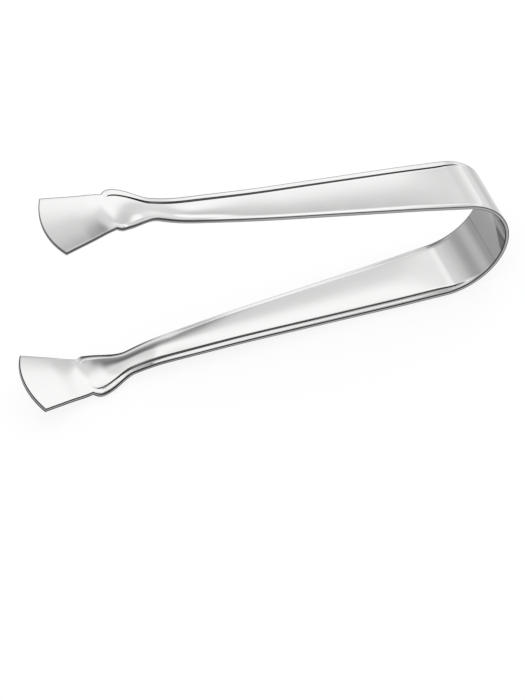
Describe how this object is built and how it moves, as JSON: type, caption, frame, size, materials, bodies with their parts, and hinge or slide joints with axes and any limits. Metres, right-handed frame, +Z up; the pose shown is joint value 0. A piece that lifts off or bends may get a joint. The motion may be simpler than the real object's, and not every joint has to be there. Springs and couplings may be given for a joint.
{
  "type": "sugar tongs",
  "caption": "Spring sugar tongs bent from one strip of polished steel, with channelled arms and flat fan-shaped claws that pinch a sugar lump.",
  "frame": {"origin": "centre of the bounding box's footprint, on the surface that the tongs lie on", "axes": "+X towards the back of the bow and -X towards the claws, +Y across the strip, +Z up from the lower arm to the upper arm"},
  "size_m": [0.1124, 0.0168, 0.0528],
  "materials": {
    "bow_steel": "bright polished stainless steel",
    "arm_steel": "bright polished stainless steel",
    "claw_steel": "bright polished stainless steel"
  },
  "bodies": {
    "bow_body": {"bow": "bow_steel"},
    "upper_side": {"upper_arm": "arm_steel", "upper_claw": "claw_steel"},
    "lower_side": {"lower_arm": "arm_steel", "lower_claw": "claw_steel"}
  },
  "joints": [
    {"name": "upper_squeeze", "type": "hinge", "parent": "bow_body", "child": "upper_side", "pos_m": [0.04619, 0, 0.02648], "axis": [0, -1, 0], "range_deg": [0, 13.5], "stiffness_Nm_per_rad": 4},
    {"name": "lower_squeeze", "type": "hinge", "parent": "bow_body", "child": "lower_side", "pos_m": [0.04217, 0, 0.00085], "axis": [0, 1, 0], "range_deg": [0, 13.5], "stiffness_Nm_per_rad": 4}
  ],
  "couplings": [
    {"joint": "lower_squeeze", "follows": "upper_squeeze", "ratio": 1}
  ]
}
